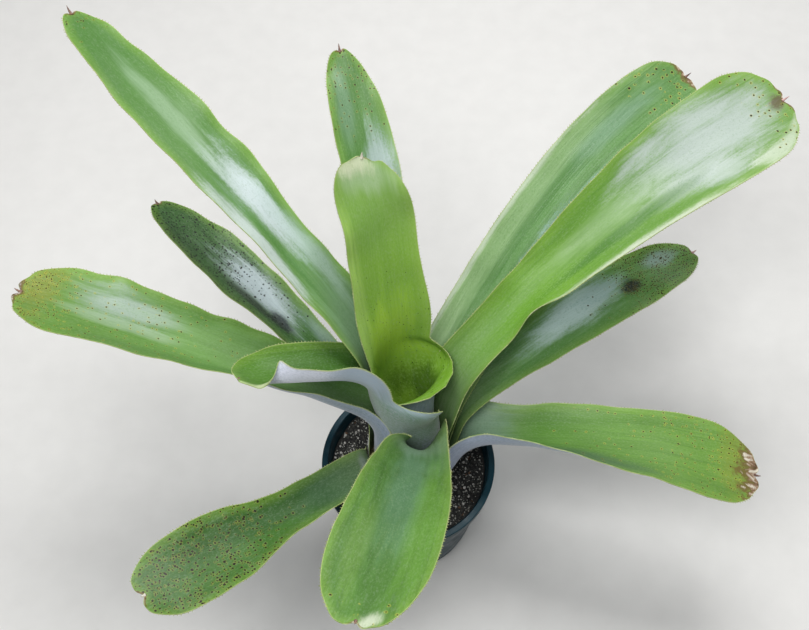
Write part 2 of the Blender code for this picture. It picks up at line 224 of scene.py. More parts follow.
def roundedProfile(corners, steps=5):
    # each corner is (radius, height, fillet)
    line = []
    for i, (r, z, fillet) in enumerate(corners):
        here = Vector((r, z))
        if i in (0, len(corners) - 1) or fillet == 0:
            line.append(here)
            continue
        before, after = Vector(corners[i - 1][:2]), Vector(corners[i + 1][:2])
        first = here + (before - here).normalized() * fillet
        last = here + (after - here).normalized() * fillet
        for k in range(steps + 1):
            t = k / steps
            line.append(first * (1 - t) ** 2 + here * 2 * t * (1 - t) + last * t ** 2)
    return line


def turnProfile(name, line, steps):
    # a closed body of revolution; its line starts and ends on the axis
    points, faces, rings = [], [], []
    for r, z in line:
        if r < 1e-6:
            rings.append([len(points)])
            points.append((0.0, 0.0, z * mm))
        else:
            rings.append(list(range(len(points), len(points) + steps)))
            points += [(r * mm * math.cos(2 * math.pi * k / steps), r * mm * math.sin(2 * math.pi * k / steps), z * mm)
                       for k in range(steps)]
    for one, two in zip(rings, rings[1:]):
        for k in range(steps):
            n = (k + 1) % steps
            if len(one) == 1:
                faces.append((one[0], two[n], two[k]))
            elif len(two) == 1:
                faces.append((one[k], one[n], two[0]))
            else:
                faces.append((one[k], one[n], two[n], two[k]))
    return addObject(name, points, faces)


def makePot(form):
    innerTop, innerBase = form["bodyTop"] - form["wall"], form["base"] - form["wall"]
    bandFoot, neck = form["height"] - form["rimHeight"], form["height"] - form["rimHeight"] - form["neckDrop"]
    corners = [
        (0.0, form["floor"], 0), (innerBase, form["floor"], 1.5), (innerTop, form["height"] - 1.5, 3),
        (innerTop + 0.4, form["height"], 0.7), (form["rim"], form["height"], 1.1),
        (form["rim"] - 0.9, bandFoot, 0.7), (form["bodyTop"] + 0.3, bandFoot, 0.6),
        (form["bodyTop"] - 0.6, neck, 1.5), (form["bodyTop"] - 1.3, neck - 0.6, 0.5),
        (form["base"] + 2.6, form["footBand"], 2.0), (form["base"] + 1.4, form["footBand"] - 1.5, 0.8),
        (form["base"], form["footLift"], 0.8), (form["base"] - 1.2, 0.0, 0.5), (form["base"] - 6.0, 0.0, 0.6),
        (form["base"] - 7.0, form["footLift"], 0.6), (0.0, form["footLift"], 0),
    ]
    pot = turnProfile("nurseryPot", [tuple(p) for p in roundedProfile(corners)][::-1], form["steps"])
    softShade(pot, 35)
    return pot


potLook = dict(deep="#08222a", fresh="#12404c", dust="#35535a", dustMost=0.25, specular=0.25, flow=(18, 18, 160),
               dirt=70.0, grain=900.0, smoothest=0.28, roughest=0.62, relief=0.0003)
potSkin, tree = newSkin("dark teal injection-moulded polypropylene")
# moulded pot: satin skin, faint flow marks round the wall, splashes of dried water and a little dust
where = addNode(tree, "ShaderNodeTexCoord").outputs["Object"]
drawn = addNode(tree, "ShaderNodeMapping", {"Vector": where, "Scale": potLook["flow"]})
flow = addNode(tree, "ShaderNodeTexNoise", {"Vector": drawn, "Scale": 1.0, "Detail": 3.0})
dirt = addNode(tree, "ShaderNodeTexNoise", {
    "Vector": where, "Scale": potLook["dirt"], "Detail": 8.0, "Roughness": 0.7})
grainy = addNode(tree, "ShaderNodeTexNoise", {"Vector": where, "Scale": potLook["grain"], "Detail": 2.0})
body = addNode(tree, "ShaderNodeValToRGB", {"Fac": flow}, stops=[(0.3, potLook["deep"]), (0.75, potLook["fresh"])])
dusty = tint(tree, body, dirt, (0.52, 0.8), (0.0, potLook["dustMost"]), potLook["dust"])
rough = addNode(tree, "ShaderNodeMapRange", {
    "Value": dirt, "From Min": 0.3, "From Max": 0.8, "To Min": potLook["smoothest"], "To Max": potLook["roughest"]})
bump = addNode(tree, "ShaderNodeBump", {"Strength": 0.15, "Distance": potLook["relief"], "Height": grainy})
gloss = addNode(tree, "ShaderNodeBsdfPrincipled", {
    "Base Color": dusty, "Roughness": rough, "IOR": 1.49, "Specular IOR Level": potLook["specular"], "Normal": bump})
addNode(tree, "ShaderNodeOutputMaterial", {"Surface": gloss})
pot = makePot(potForm)
pot.data.materials.append(potSkin)
place(pot, "pot")
print("pot turned")


# potting mix: uneven top, with crumbs, grit, perlite and bark bits

soilForm = dict(top=104.0, edge=67.0, foot=3.4, footEdge=55.3, relief=1.6, waves=26, rates=(40, 420), damping=90,
                sink=0.6, rings=44, steps=120, seed=4)


def makeSoil(form):
    line = [(0.0, form["foot"]), (form["footEdge"], form["foot"]), (form["edge"] - 0.6, form["top"] - 1.2)]
    line += [(form["edge"] * (1 - k / form["rings"]), form["top"]) for k in range(form["rings"])]
    soil = turnProfile("pottingMix", line + [(0.0, form["top"])], form["steps"])
    pick = random.Random(form["seed"])
    waves = [(pick.uniform(*form["rates"]), pick.uniform(0, 2 * math.pi), pick.uniform(0, 6))
             for _ in range(form["waves"])]
    for vertex in soil.data.vertices:
        x, y, z = vertex.co
        if z < (form["top"] - 0.5) * mm:
            continue
        rough = sum(math.sin(rate * (x * math.cos(turn) + y * math.sin(turn)) + phase) / (1 + rate / form["damping"])
                    for rate, turn, phase in waves)
        vertex.co.z += form["relief"] * mm * (rough * 0.35 - form["sink"])
    softShade(soil, 60)
    return soil


soilSkin, tree = newSkin("damp black peat")
# fine fibrous peat, nearly black, with dull fibres and a damp sheen
where = addNode(tree, "ShaderNodeTexCoord").outputs["Object"]
grain = addNode(tree, "ShaderNodeTexNoise", {"Vector": where, "Scale": 420.0, "Detail": 8.0, "Roughness": 0.75})
drawn = addNode(tree, "ShaderNodeMapping", {"Vector": where, "Rotation": (0, 0, 0.6), "Scale": (900, 260, 300)})
fibres = addNode(tree, "ShaderNodeTexVoronoi", {"Vector": drawn, "Scale": 1.0})
earth = addNode(tree, "ShaderNodeValToRGB", {"Fac": grain}, stops=[
    (0.32, "#0b0b0b"), (0.5, "#1c1c1b"), (0.6, "#34332f"), (0.72, "#615c51")])
flecked = tint(tree, earth, fibres, (0.12, 0.02), (0.0, 0.6), "#74705f")
bump = addNode(tree, "ShaderNodeBump", {"Strength": 0.9, "Distance": 0.0015, "Height": grain})
peat = addNode(tree, "ShaderNodeBsdfPrincipled", {"Base Color": flecked, "Roughness": 0.85, "Normal": bump})
addNode(tree, "ShaderNodeOutputMaterial", {"Surface": peat})


def bitsTree():
    # grains strewn on the faces of a mesh, each one a low sphere knocked out of round
    tree, given = startTree("strewnBits", ("Density", "Smallest", "Largest", "Flatness", "Lumps"))
    strewn = addNode(tree, "GeometryNodeDistributePointsOnFaces", {
        "Mesh": given["Geometry"], "Density": given["Density"], "Seed": given["Seed"]})
    grain = addNode(tree, "GeometryNodeMeshUVSphere", {"Segments": 6, "Rings": 4, "Radius": 0.5})
    size = addNode(tree, "FunctionNodeRandomValue", {2: given["Smallest"], 3: given["Largest"], "Seed": given["Seed"]})
    squash = addNode(tree, "ShaderNodeCombineXYZ", {"X": 1.0, "Y": 0.85, "Z": given["Flatness"]})
    scaled = addNode(tree, "ShaderNodeVectorMath", {0: squash, "Scale": size.outputs[1]}, operation="SCALE")
    spin = addNode(tree, "FunctionNodeRandomValue", {
        1: (6.3, 6.3, 6.3), "Seed": given["Seed"]}, data_type="FLOAT_VECTOR")
    laid = addNode(tree, "GeometryNodeInstanceOnPoints", {
        "Points": strewn, "Instance": grain, "Rotation": spin, "Scale": scaled})
    real = addNode(tree, "GeometryNodeRealizeInstances", {"Geometry": laid})
    lump = addNode(tree, "ShaderNodeTexNoise", {"Scale": 700.0, "Detail": 2.0})
    middle = addNode(tree, "ShaderNodeVectorMath", {
        0: lump.outputs["Color"], 1: (0.5, 0.5, 0.5)}, operation="SUBTRACT")
    push = addNode(tree, "ShaderNodeVectorMath", {0: middle, "Scale": given["Lumps"]}, operation="SCALE")
    moved = addNode(tree, "GeometryNodeSetPosition", {"Geometry": real, "Offset": push})
    endTree(tree, moved, given["Material"])
    return tree


def strewBits(name, skin, form):
    # the grains lie on a copy of the soil's top, clear of the stem and of the wall
    faces = []
    for face in soil.data.polygons:
        middle = face.center
        far = math.hypot(middle.x, middle.y)
        onTop = middle.z > (soilForm["top"] - 4) * mm and face.normal.z > 0.3
        if onTop and form["inner"] * mm < far < form["outer"] * mm:
            faces.append(tuple(face.vertices))
    bits = addObject(name, [v.co for v in soil.data.vertices], faces)
    growOn(bits, strewTree, {"Density": form["density"], "Smallest": form["smallest"] * mm,
                             "Largest": form["largest"] * mm, "Flatness": form["flatness"],
                             "Lumps": form["lumps"] * mm, "Seed": form["seed"], "Material": skin})
    softShade(bits, 50)
    place(bits, None)


def bitSkin(name, dark, pale, scale, roughness):
    return plainSkin(name, [(0.32, dark), (0.66, pale)], scale, 5.0, 0.7, roughness=roughness, strength=0.6,
                     depth=0.0004)


strewTree = bitsTree()
soil = makeSoil(soilForm)
soil.data.materials.append(soilSkin)
place(soil, "soil")
# pumice grit: small grey bits
strewBits("gritGrains", bitSkin("pumice grit", "#66665e", "#c9c9bf", 700.0, 0.7),
          dict(inner=30, outer=65.5, density=110000, smallest=0.8, largest=2.0, flatness=0.6, lumps=0.4, seed=11))
# peat crumbs: grey-black lumps
strewBits("peatCrumbs", bitSkin("peat crumbs", "#141414", "#55554f", 600.0, 0.9),
          dict(inner=30, outer=65.5, density=90000, smallest=1.2, largest=3.4, flatness=0.7, lumps=1.4, seed=3))
# expanded perlite: white popcorn-like grains, greyed by the peat
strewBits("perliteGrains", bitSkin("expanded perlite", "#7d7a74", "#dcd9d2", 500.0, 0.8),
          dict(inner=30, outer=65, density=38000, smallest=0.7, largest=3.2, flatness=0.8, lumps=1.0, seed=8))
# composted bark: reddish brown flakes
strewBits("barkBits", bitSkin("composted bark", "#2c1d14", "#7a5a40", 380.0, 0.8),
          dict(inner=30, outer=65, density=5000, smallest=2.0, largest=4.0, flatness=0.35, lumps=1.2, seed=5))
print("potting mix strewn")


# stem: the CAD crown under the leaves, dressed in matted papery bracts, streaked up and down

stemSkin = plainSkin("dry sheath fibre", [(0.3, "#3b2c1c"), (0.5, "#7a6a48"), (0.72, "#b9ab84")], 1.0, 6.0,
                     stretch=(700, 700, 60), roughness=0.8, strength=0.7, depth=0.001)
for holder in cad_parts["stem"].material_slots:
    holder.material = stemSkin
print("stem dressed")


# leaves: every blade follows one law, a wrapped sheath that bends out into a strap

plant = dict(shift=-3.0, soilTop=104.0, leanBack=-6.0, leanRight=12.0, sheathRise=80.0, rows=170, columns=30,
             pathSteps=1600, drift=(-25, 10), driftLow=40, driftHigh=78, thickness=1.5, marginShare=0.4,
             marginWide=9.0, rootRadius=9.5, rootStep=2.4, rootHeight=26, rootDrop=2, sheath=72, sheathDrop=4.5,
             rowPower=1.35, tipGap=0.0015, sideRipples=(34, 52, 83, 120), fullRipples=(60, 95),
             rippleSpread=(0.85, 1.15), rippleShare=(0.35, 1.0), tipWander=0.7)
plantMatrix = Matrix.Translation((plant["shift"] * mm, 0.0, plant["soilTop"] * mm)) @ Euler(
    (math.radians(plant["leanBack"]), math.radians(plant["leanRight"]), 0.0)).to_matrix().to_4x4()
plantTurn = np.array(plantMatrix.to_3x3())

# what a leaf goes by unless it says otherwise: lengths in mm, angles in degrees, places in shares of its length
leafBasics = dict(
    turn=0, bend=50, tipRise=0, sheathHalf=36, neckHalf=24, maxAt=0.75, tipPower=2.8, channel=40, tipChannel=12,
    flat=1.0, roll=0, rollBase=0, wrap=2.2, hold=0.0, fall=None, waist=0.0, drift=(0, 0), overlap=0.0, lip=0.0,
    squash=0.0, lipAt=100, lean=0, curl=0, curlFrom=0.8, waves=[], ripple=0.8, notch=2.5, notchHalf=4.0, spine=6,
    spineUp=0.3, spineTone=0)


def smooth(share):
    share = np.clip(share, 0.0, 1.0)
    return share * share * (3.0 - 2.0 * share)


def leafPath(form):
    # the midrib, up the crown, out through the bend and along the blade, with the leaf's width and curl along it
    length, sheath, bend = form["length"], form["sheath"], form["bend"]
    s = np.linspace(0.0, length, plant["pathSteps"] + 1)
    bent = smooth((s - sheath) / bend)
    blade = np.clip((s - sheath - bend / 2) / (length - sheath - bend / 2), 0.0, 1.0)
    rise = plant["sheathRise"] * (1 - bent) + bent * (form["rise"] + (form["tipRise"] - form["rise"]) * blade)
    rise = rise + form["curl"] * smooth((s / length - form["curlFrom"]) / (1 - form["curlFrom"]))
    heading = form["heading"] + 2 * form["turn"] * smooth((s - sheath) / (length - sheath) / 2)
    rise, heading = np.radians(rise), np.radians(heading)
    along = np.stack([np.cos(rise) * np.cos(heading), np.cos(rise) * np.sin(heading), np.sin(rise)], 1)
    middle = np.zeros((len(s), 3))
    start = math.radians(form["heading"])
    rootRadius = plant["rootRadius"] + plant["rootStep"] * form["nest"]
    rootHeight = plant["rootHeight"] - plant["rootDrop"] * form["nest"]
    middle[0] = (rootRadius * math.cos(start), rootRadius * math.sin(start), rootHeight)
    middle[1:] = middle[0] + np.cumsum((along[1:] + along[:-1]) / 2, 0) * length / plant["pathSteps"]
    radius = np.hypot(middle[:, 0], middle[:, 1])
    # the crown's axis curves with height, and a blade keeps the shift that its sheath ends with
    held = np.clip((s - sheath + bend / 2) / bend, 0.0, 1.0)
    reached = np.where(s < sheath - bend / 2, s, sheath - bend / 2 + bend * (held - held ** 2 / 2))
    height = np.interp(reached, s, middle[:, 2])
    middle[:, :2] += smooth((height - plant["driftLow"]) / plant["driftHigh"])[:, None] * (
        np.array(plant["drift"]) + np.array(form["drift"]))
    tilt = np.radians(90.0) * (1 - bent) + rise * bent
    axis = np.stack([np.cos(tilt) * np.cos(heading), np.cos(tilt) * np.sin(heading), np.sin(tilt)], 1)
    level = np.stack([-np.sin(heading), np.cos(heading), np.zeros_like(heading)], 1)
    upward = np.cross(axis, level)
    roll = np.radians(form["rollBase"] * bent * (1 - blade) + form["roll"] * blade)[:, None]
    across = np.cos(roll) * level + np.sin(roll) * upward
    up = np.cos(roll) * upward - np.sin(roll) * level
    u = s / length
    neck = (sheath + bend / 2) / length
    widest = max(form["maxAt"], neck + 0.1)
    fall = smooth((u / neck - form["hold"]) / (form["fall"] or 1 - form["hold"]))
    half = form["sheathHalf"] + (form["neckHalf"] - form["sheathHalf"]) * fall
    waist = max(neck, form["waist"])
    outer = form["neckHalf"] + (form["maxHalf"] - form["neckHalf"]) * smooth((u - waist) / (widest - waist))
    half = np.where(u >= neck, outer, half)
    end = np.clip((u - widest) / (1 - widest), 0.0, 1.0)
    tip = form["maxHalf"] * np.sqrt(np.clip(1 - end ** form["tipPower"], 0.0, 1.0))
    half = np.where(u >= widest, tip, half)
    half = np.where(s < sheath + 0.6 * bend, np.minimum(half, form["wrap"] * radius), half)
    channel = form["tipChannel"] + (form["channel"] - form["tipChannel"]) * (1 - blade) ** form["flat"]
    channel = np.radians(channel) * np.where(u > widest, half / form["maxHalf"], 1.0)
    share = smooth((s - 0.8 * sheath) / (1.1 * bend + 0.2 * sheath))
    angle = np.maximum(half / np.maximum(radius, 1.0) * (1 - share) + channel * share, 0.001)
    return u, middle, along, across, up, half, angle, 1 - fall


def leafSheet(form):
    # rows run from the root to the tip, columns from the right margin to the left one
    path = leafPath(form)
    even = np.linspace(0.0, 1.0, plant["rows"])
    u = 1 - (1 - even) ** plant["rowPower"] * (1 - plant["tipGap"]) - plant["tipGap"]
    picked = [np.stack([np.interp(u, path[0], part[:, k]) for k in range(3)], 1) if part.ndim == 2
              else np.interp(u, path[0], part) for part in path[1:]]
    middle, along, across, up, half, angle, shoulder = picked
    v = np.linspace(-1.0, 1.0, plant["columns"] + 1)
    # a sheath may wrap further round on one side than on the other
    bow = (half / angle)[:, None]
    turn = angle[:, None] * v * (1 - form["overlap"] * np.sign(v) * shoulder[:, None])
    x, z = bow * np.sin(turn), bow * (1 - np.cos(turn))
    # the lip of the cup flares on the right-hand side, and is pressed flatter there
    mouth = (smooth((u * form["length"] - form["lipAt"] + 40) / 50) * shoulder)[:, None] * smooth((-v - 0.1) / 0.6)
    flare = form["lip"] * mouth
    z = z * (1 - form["squash"] * mouth)
    x, z = x + flare * np.sin(turn), z - flare * np.cos(turn)
    # a wave moves one margin outwards and upwards
    for side, where, reach, outward, upward in form["waves"]:
        bump = np.exp(-((u - where) / reach) ** 2)[:, None] * np.clip(side * v, 0, 1) ** 2
        x, z = x + side * bump * outward, z + bump * upward
    s = u * form["length"]
    free = (smooth((s - form["sheath"] - form["bend"]) / 60) * (1 - 0.4 * smooth((u - 0.92) / 0.08)))[:, None]
    pick = random.Random(form["nest"] * 7 + 3)
    for side in (-1, 1):
        for length in plant["sideRipples"]:
            rate, phase = 2 * math.pi / (length * pick.uniform(*plant["rippleSpread"])), pick.uniform(0, 6.28)
            swell = form["ripple"] * pick.uniform(*plant["rippleShare"]) * (0.5 + length / 120)
            z = z + swell * free * np.clip(side * v, 0, 1) ** 2 * np.sin(rate * s + phase)[:, None]
    for length in plant["fullRipples"]:
        rate, phase = 2 * math.pi / length, pick.uniform(0, 6.28)
        z = z + 0.5 * form["ripple"] * free * np.sin(rate * s[:, None] + phase + v * pick.uniform(1.5, 3))
    near = smooth((u - 0.9) / 0.1)[:, None]
    x = x + form["lean"] * smooth((u - 0.8) / 0.2)[:, None]
    pull = near * (form["notch"] * np.exp(-(x / form["notchHalf"]) ** 2)
                   + plant["tipWander"] * np.sin(x * 0.4 + form["nest"]))
    points = (middle[:, None] + x[..., None] * across[:, None] + z[..., None] * up[:, None]
              - pull[..., None] * along[:, None])
    return u, v, points, half, along, up


def toPlant(points):
    # from millimetres on the leaning plant to metres in the scene
    flat = np.asarray(points, float).reshape(-1, 3) * mm
    return (flat @ plantTurn.T + np.array(plantMatrix.translation)).reshape(np.shape(points))


def softPatch(tree, colour, patch, maps):
    # an oval area of another tone: its place, its reach (both along, then across), its strength and its tone; it draws
    # real blotches, crusts and scurf, and also painted sheen and painted shade
    along, across, reachAlong, reachAcross, strength, tone = patch
    offset = addNode(tree, "ShaderNodeVectorMath", {
        0: maps["share"], 1: (0.5 + across / 2, along, 0)}, operation="SUBTRACT")
    scaled = addNode(tree, "ShaderNodeVectorMath", {
        0: offset, 1: (2 / reachAcross, 1 / reachAlong, 0)}, operation="MULTIPLY")
    far = addNode(tree, "ShaderNodeVectorMath", {0: scaled}, operation="LENGTH")
    edge = addNode(tree, "ShaderNodeMath", {0: far.outputs["Value"], 1: maps["ragged"]}, operation="ADD")
    amount = addNode(tree, "ShaderNodeMapRange", {
        "Value": edge, "From Min": 1.2, "From Max": 0.3, "To Max": strength}, interpolation_type="SMOOTHSTEP")
    mixed = addNode(tree, "ShaderNodeMix", {0: amount, 6: colour, 7: tone}, data_type="RGBA")
    return mixed.outputs[2]


def leafMaps(tree, seed):
    # what the tones of a leaf go by: its own three maps, the way to its margin and tip in mm, and noises
    # stretched along it
    maps = {key: addNode(tree, "ShaderNodeUVMap", uv_map=key + "Map") for key in ("leaf", "share", "edge")}
    edge = addNode(tree, "ShaderNodeSeparateXYZ", {0: maps["edge"]}).outputs
    share = addNode(tree, "ShaderNodeSeparateXYZ", {0: maps["share"]}).outputs
    maps.update(fromMargin=edge["X"], fromTip=edge["Y"], along=share["Y"])
    # real veins are 0.9 mm apart, drawn at about 2 mm so that they show
    for key, scale, detail in (("mottle", (75, 16, 1), 5.0), ("broad", (28, 8, 1), 3.0), ("veins", (480, 6, 1), 3.0),
                               ("powder", (900, 500, 1), 3.0), ("blotch", (150, 110, 1), 4.0)):
        spot = addNode(tree, "ShaderNodeMapping", {
            "Vector": maps["leaf"], "Location": (seed * 0.37, seed * 0.71, seed * 1.3), "Scale": scale})
        noise = addNode(tree, "ShaderNodeTexNoise", {
            "Vector": spot, "Scale": 1.0, "Detail": detail, "Roughness": 0.6, "Distortion": 0.4})
        maps[key] = noise
    # the raggedness of a patch's edge, near nought on average
    ragged = -1.65
    for key, amount in (("mottle", 1.7), ("veins", 0.5), ("powder", 0.9)):
        ragged = addNode(tree, "ShaderNodeMath", {0: maps[key], 1: amount, 2: ragged}, operation="MULTIPLY_ADD")
    maps["ragged"] = ragged
    return maps


def speckle(tree, colour, speck, look, maps):
    # specks: at most one to a cell, more towards one end of the leaf, each in a yellow halo
    cell, amount, start, full, size = speck
    spot = addNode(tree, "ShaderNodeMapping", {
        "Vector": maps["leaf"], "Scale": (1000 / cell, 1000 / cell, 1), "Location": (look["seed"] * 0.9, cell, 0)})
    cells = addNode(tree, "ShaderNodeTexVoronoi", {"Vector": spot, "Scale": 1.0}, voronoi_dimensions="2D")
    luck = addNode(tree, "ShaderNodeSeparateColor", {0: cells.outputs["Color"]})
    crowd = addNode(tree, "ShaderNodeMapRange", {
        "Value": maps["along"], "From Min": start, "From Max": full, "To Max": amount})
    patchy = addNode(tree, "ShaderNodeMapRange", {
        "Value": maps["blotch"], "From Min": 0.35, "From Max": 0.65, "To Min": 0.1, "To Max": 1.7})
    crowd = addNode(tree, "ShaderNodeMath", {0: crowd, 1: patchy}, operation="MULTIPLY")
    present = addNode(tree, "ShaderNodeMath", {0: luck.outputs["Red"], 1: crowd}, operation="LESS_THAN")
    radius = addNode(tree, "ShaderNodeMapRange", {
        "Value": luck.outputs["Green"], "To Min": size * 0.45, "To Max": size})
    # the powder knocks the specks out of round
    away = addNode(tree, "ShaderNodeMath", {0: maps["powder"], 1: 0.3, 2: cells}, operation="MULTIPLY_ADD")
    away = addNode(tree, "ShaderNodeMath", {0: away, 1: 0.15}, operation="SUBTRACT")
    core = addNode(tree, "ShaderNodeMath", {0: away, 1: radius}, operation="LESS_THAN")
    ring = addNode(tree, "ShaderNodeMapRange", {
        "Value": away, "From Min": size, "From Max": size * 1.9, "To Min": look["halo"], "To Max": 0.0})
    for share, tone in ((ring, look["haloTone"]), (core, look["speckTone"])):
        share = addNode(tree, "ShaderNodeMath", {0: share, 1: present}, operation="MULTIPLY")
        colour = addNode(tree, "ShaderNodeMix", {0: share, 6: colour, 7: tone}, data_type="RGBA").outputs[2]
    return colour


def leafSkin(name, look):
    # upper face: waxy cuticle over streaky green, fine lengthwise veins, silvery scales in long patches, many with a
    # painted sheen, painted shade in some folds and hollows, dark specks, a scorched tip and a thin pale margin
    skin, tree = newSkin(name)
    maps = leafMaps(tree, look["seed"])
    powder, blotch, scorch = maps["powder"], maps["blotch"], look["scorch"]
    body = addNode(tree, "ShaderNodeValToRGB", {"Fac": maps["along"]}, stops=[
        (look["neckAt"] * 0.6, look["base"]), (look["neckAt"] + 0.08, look["deep"]),
        (look["freshAt"], look["fresh"]), (0.97, look["tipTone"])])
    colour = body
    for value, reach, share, tone in (
            (maps["mottle"], (0.38, 0.66), (0.0, look["mottle"]), look["shade"]),
            (maps["broad"], (0.45, 0.7), (0.0, look["grey"]), look["greyTone"]),
            (maps["fromMargin"], (0.0, look["limeWide"]), (look["lime"], 0.0), look["limeTone"]),
            (maps["veins"], (0.45, 0.65), (0.0, look["veins"]), look["shade"])):
        colour = tint(tree, colour, value, reach, share, tone)
    for patch in look["marksAndPaintedLight"]:
        colour = softPatch(tree, colour, patch, maps)
    # fine grain of scales, then of pores
    colour = tint(tree, colour, powder, (0.5, 0.75), (0.0, look["scales"]), look["scaleTone"])
    colour = tint(tree, colour, powder, (0.48, 0.28), (0.0, look["pores"]), look["shade"])
    for speck in look["specks"]:
        colour = speckle(tree, colour, speck, look, maps)
    # scorched tip: papery brown and white blotches with a ragged, dark border
    wander = addNode(tree, "ShaderNodeMath", {0: blotch, 1: scorch * 3.0, 2: scorch * -1.5}, operation="MULTIPLY_ADD")
    tipEdge = addNode(tree, "ShaderNodeMath", {0: maps["fromTip"], 1: wander}, operation="ADD")
    colour = tint(tree, colour, tipEdge, (scorch, scorch * 1.5), (0.85, 0.0), look["borderTone"])
    scorchShare = addNode(tree, "ShaderNodeMapRange", {
        "Value": tipEdge, "From Min": scorch * 0.6, "From Max": scorch * 0.8, "To Min": 0.95, "To Max": 0.0})
    scorchTone = addNode(tree, "ShaderNodeValToRGB", {"Fac": blotch}, stops=[
        (0.38, look["bleached"]), (0.5, look["scorchTone"]), (0.62, look["charred"])])
    scorched = addNode(tree, "ShaderNodeMix", {0: scorchShare, 6: colour, 7: scorchTone}, data_type="RGBA")
    # thin pale margin
    lined = tint(tree, scorched.outputs[2], maps["fromMargin"], (look["line"] * 0.5, look["line"]), (0.7, 0.0),
                 look["lineTone"])
    rough = addNode(tree, "ShaderNodeMapRange", {
        "Value": maps["mottle"], "From Min": 0.3, "From Max": 0.7, "To Min": look["gloss"] - 0.06,
        "To Max": look["gloss"] + 0.08})
    rough = addNode(tree, "ShaderNodeMix", {0: scorchShare, 2: rough, 3: 0.8})
    swell = addNode(tree, "ShaderNodeBump", {"Strength": 0.55, "Distance": 0.0016, "Height": maps["mottle"]})
    ribs = addNode(tree, "ShaderNodeBump", {
        "Strength": look["ribs"], "Distance": 0.0004, "Height": maps["veins"], "Normal": swell})
    leaf = addNode(tree, "ShaderNodeBsdfPrincipled", {
        "Base Color": lined, "Roughness": rough, "IOR": 1.45, "Specular IOR Level": look["specular"], "Normal": ribs})
    addNode(tree, "ShaderNodeOutputMaterial", {"Surface": leaf})
    return skin


def backSkin(name, look):
    # outer face: grey-green under a dense coat of silver scales that reads as lilac, streaked lengthwise
    skin, tree = newSkin(name)
    maps = leafMaps(tree, look["seed"])
    body = addNode(tree, "ShaderNodeValToRGB", {"Fac": maps["along"]}, stops=[
        (0.02, look["foot"]), (0.12, look["lilac"]), (0.5, look["silver"]), (1.0, look["green"])])
    colour = tint(tree, body, maps["veins"], (0.42, 0.7), (0.0, 0.4), look["green"])
    for patch in look["marksAndPaintedLight"]:
        colour = softPatch(tree, colour, patch, maps)
    colour = tint(tree, colour, maps["powder"], (0.42, 0.68), (0.0, 0.5), look["scale"])
    colour = tint(tree, colour, maps["fromMargin"], (0.4, 1.2), (0.6, 0.0), look["lineTone"])
    bump = addNode(tree, "ShaderNodeBump", {"Strength": 0.35, "Distance": 0.0006, "Height": maps["veins"]})
    leaf = addNode(tree, "ShaderNodeBsdfPrincipled", {
        "Base Color": colour, "Roughness": 0.5, "IOR": 1.45, "Normal": bump, "Sheen Weight": 0.3,
        "Sheen Roughness": 0.4})
    addNode(tree, "ShaderNodeOutputMaterial", {"Surface": leaf})
    return skin


def hornSkin(name, dark, pale, roughness):
    # horny margin, teeth and spines: smooth and paler in places
    return plainSkin(name, [(0.35, dark), (0.65, pale)], 160.0, roughness=roughness, strength=0.2)


backLook = dict(foot="#8d8a78", lilac="#97a4bd", silver="#8699a2", green="#64806a", scale="#bcc3d2",
                lineTone="#c4ca9c", marksAndPaintedLight=[], seed=20)
silverBack = backSkin("silver-scaled leaf back", backLook)
marginSkin = hornSkin("horny leaf margin", "#86a052", "#b3bf86", 0.5)
toothSkin = hornSkin("horny marginal teeth", "#8f9a58", "#c2c690", 0.5)
spineSkins = [hornSkin("dry brown tip spine", "#5a4038", "#8d6f5f", 0.6),
              hornSkin("pink tip spine", "#a3767a", "#cfa9a2", 0.5),
              hornSkin("bleached tip spine", "#b9b3a0", "#e6e2d6", 0.6)]

lookBasics = dict(
    base="#7f9a6a", deep="#4a7a28", fresh="#659437", tipTone="#6d9639", shade="#38631f", neckAt=0.3, freshAt=0.6,
    mottle=0.35, grey=0.25, greyTone="#6a9150", lime=0.4, limeWide=9.0, limeTone="#92b84a", veins=0.3, ribs=0.4,
    marksAndPaintedLight=[], scales=0.22, scaleTone="#9fb09a", pores=0.3, specks=[], halo=0.4, haloTone="#b9b64c",
    speckTone="#20190f", scorch=2.0, scorchTone="#8d7158", bleached="#d6cfbd", charred="#4d3728", borderTone="#6e5a33",
    line=0.6, lineTone="#a9ba76", gloss=0.42, specular=0.35, back=[])

marginForm = dict(toothFrom=0.75, toothTo=0.985, toothAhead=0.45, spineRadius=1.25, spinePoint=0.12, spineSunk=1.5,
                  spineSteps=6)
marginLines = []
spineParts = {0: [], 1: [], 2: []}


def tube(points, radii, sides=8):
    # a tapered tube along a few points, closed at both ends
    points = [Vector(p) for p in points]
    verts, faces = [], []
    for i, (point, radius) in enumerate(zip(points, radii)):
        ahead = (points[min(i + 1, len(points) - 1)] - points[max(i - 1, 0)]).normalized()
        side = ahead.cross(Vector((0.3, 0.2, 1.0))).normalized()
        other = ahead.cross(side)
        verts += [point + (side * math.cos(a) + other * math.sin(a)) * radius
                  for a in (2 * math.pi * k / sides for k in range(sides))]
    for i in range(len(points) - 1):
        for k in range(sides):
            n = (k + 1) % sides
            faces.append((i * sides + k, i * sides + n, (i + 1) * sides + n, (i + 1) * sides + k))
    faces.append(tuple(range(sides))[::-1])
    faces.append(tuple(range((len(points) - 1) * sides, len(points) * sides)))
    return verts, faces


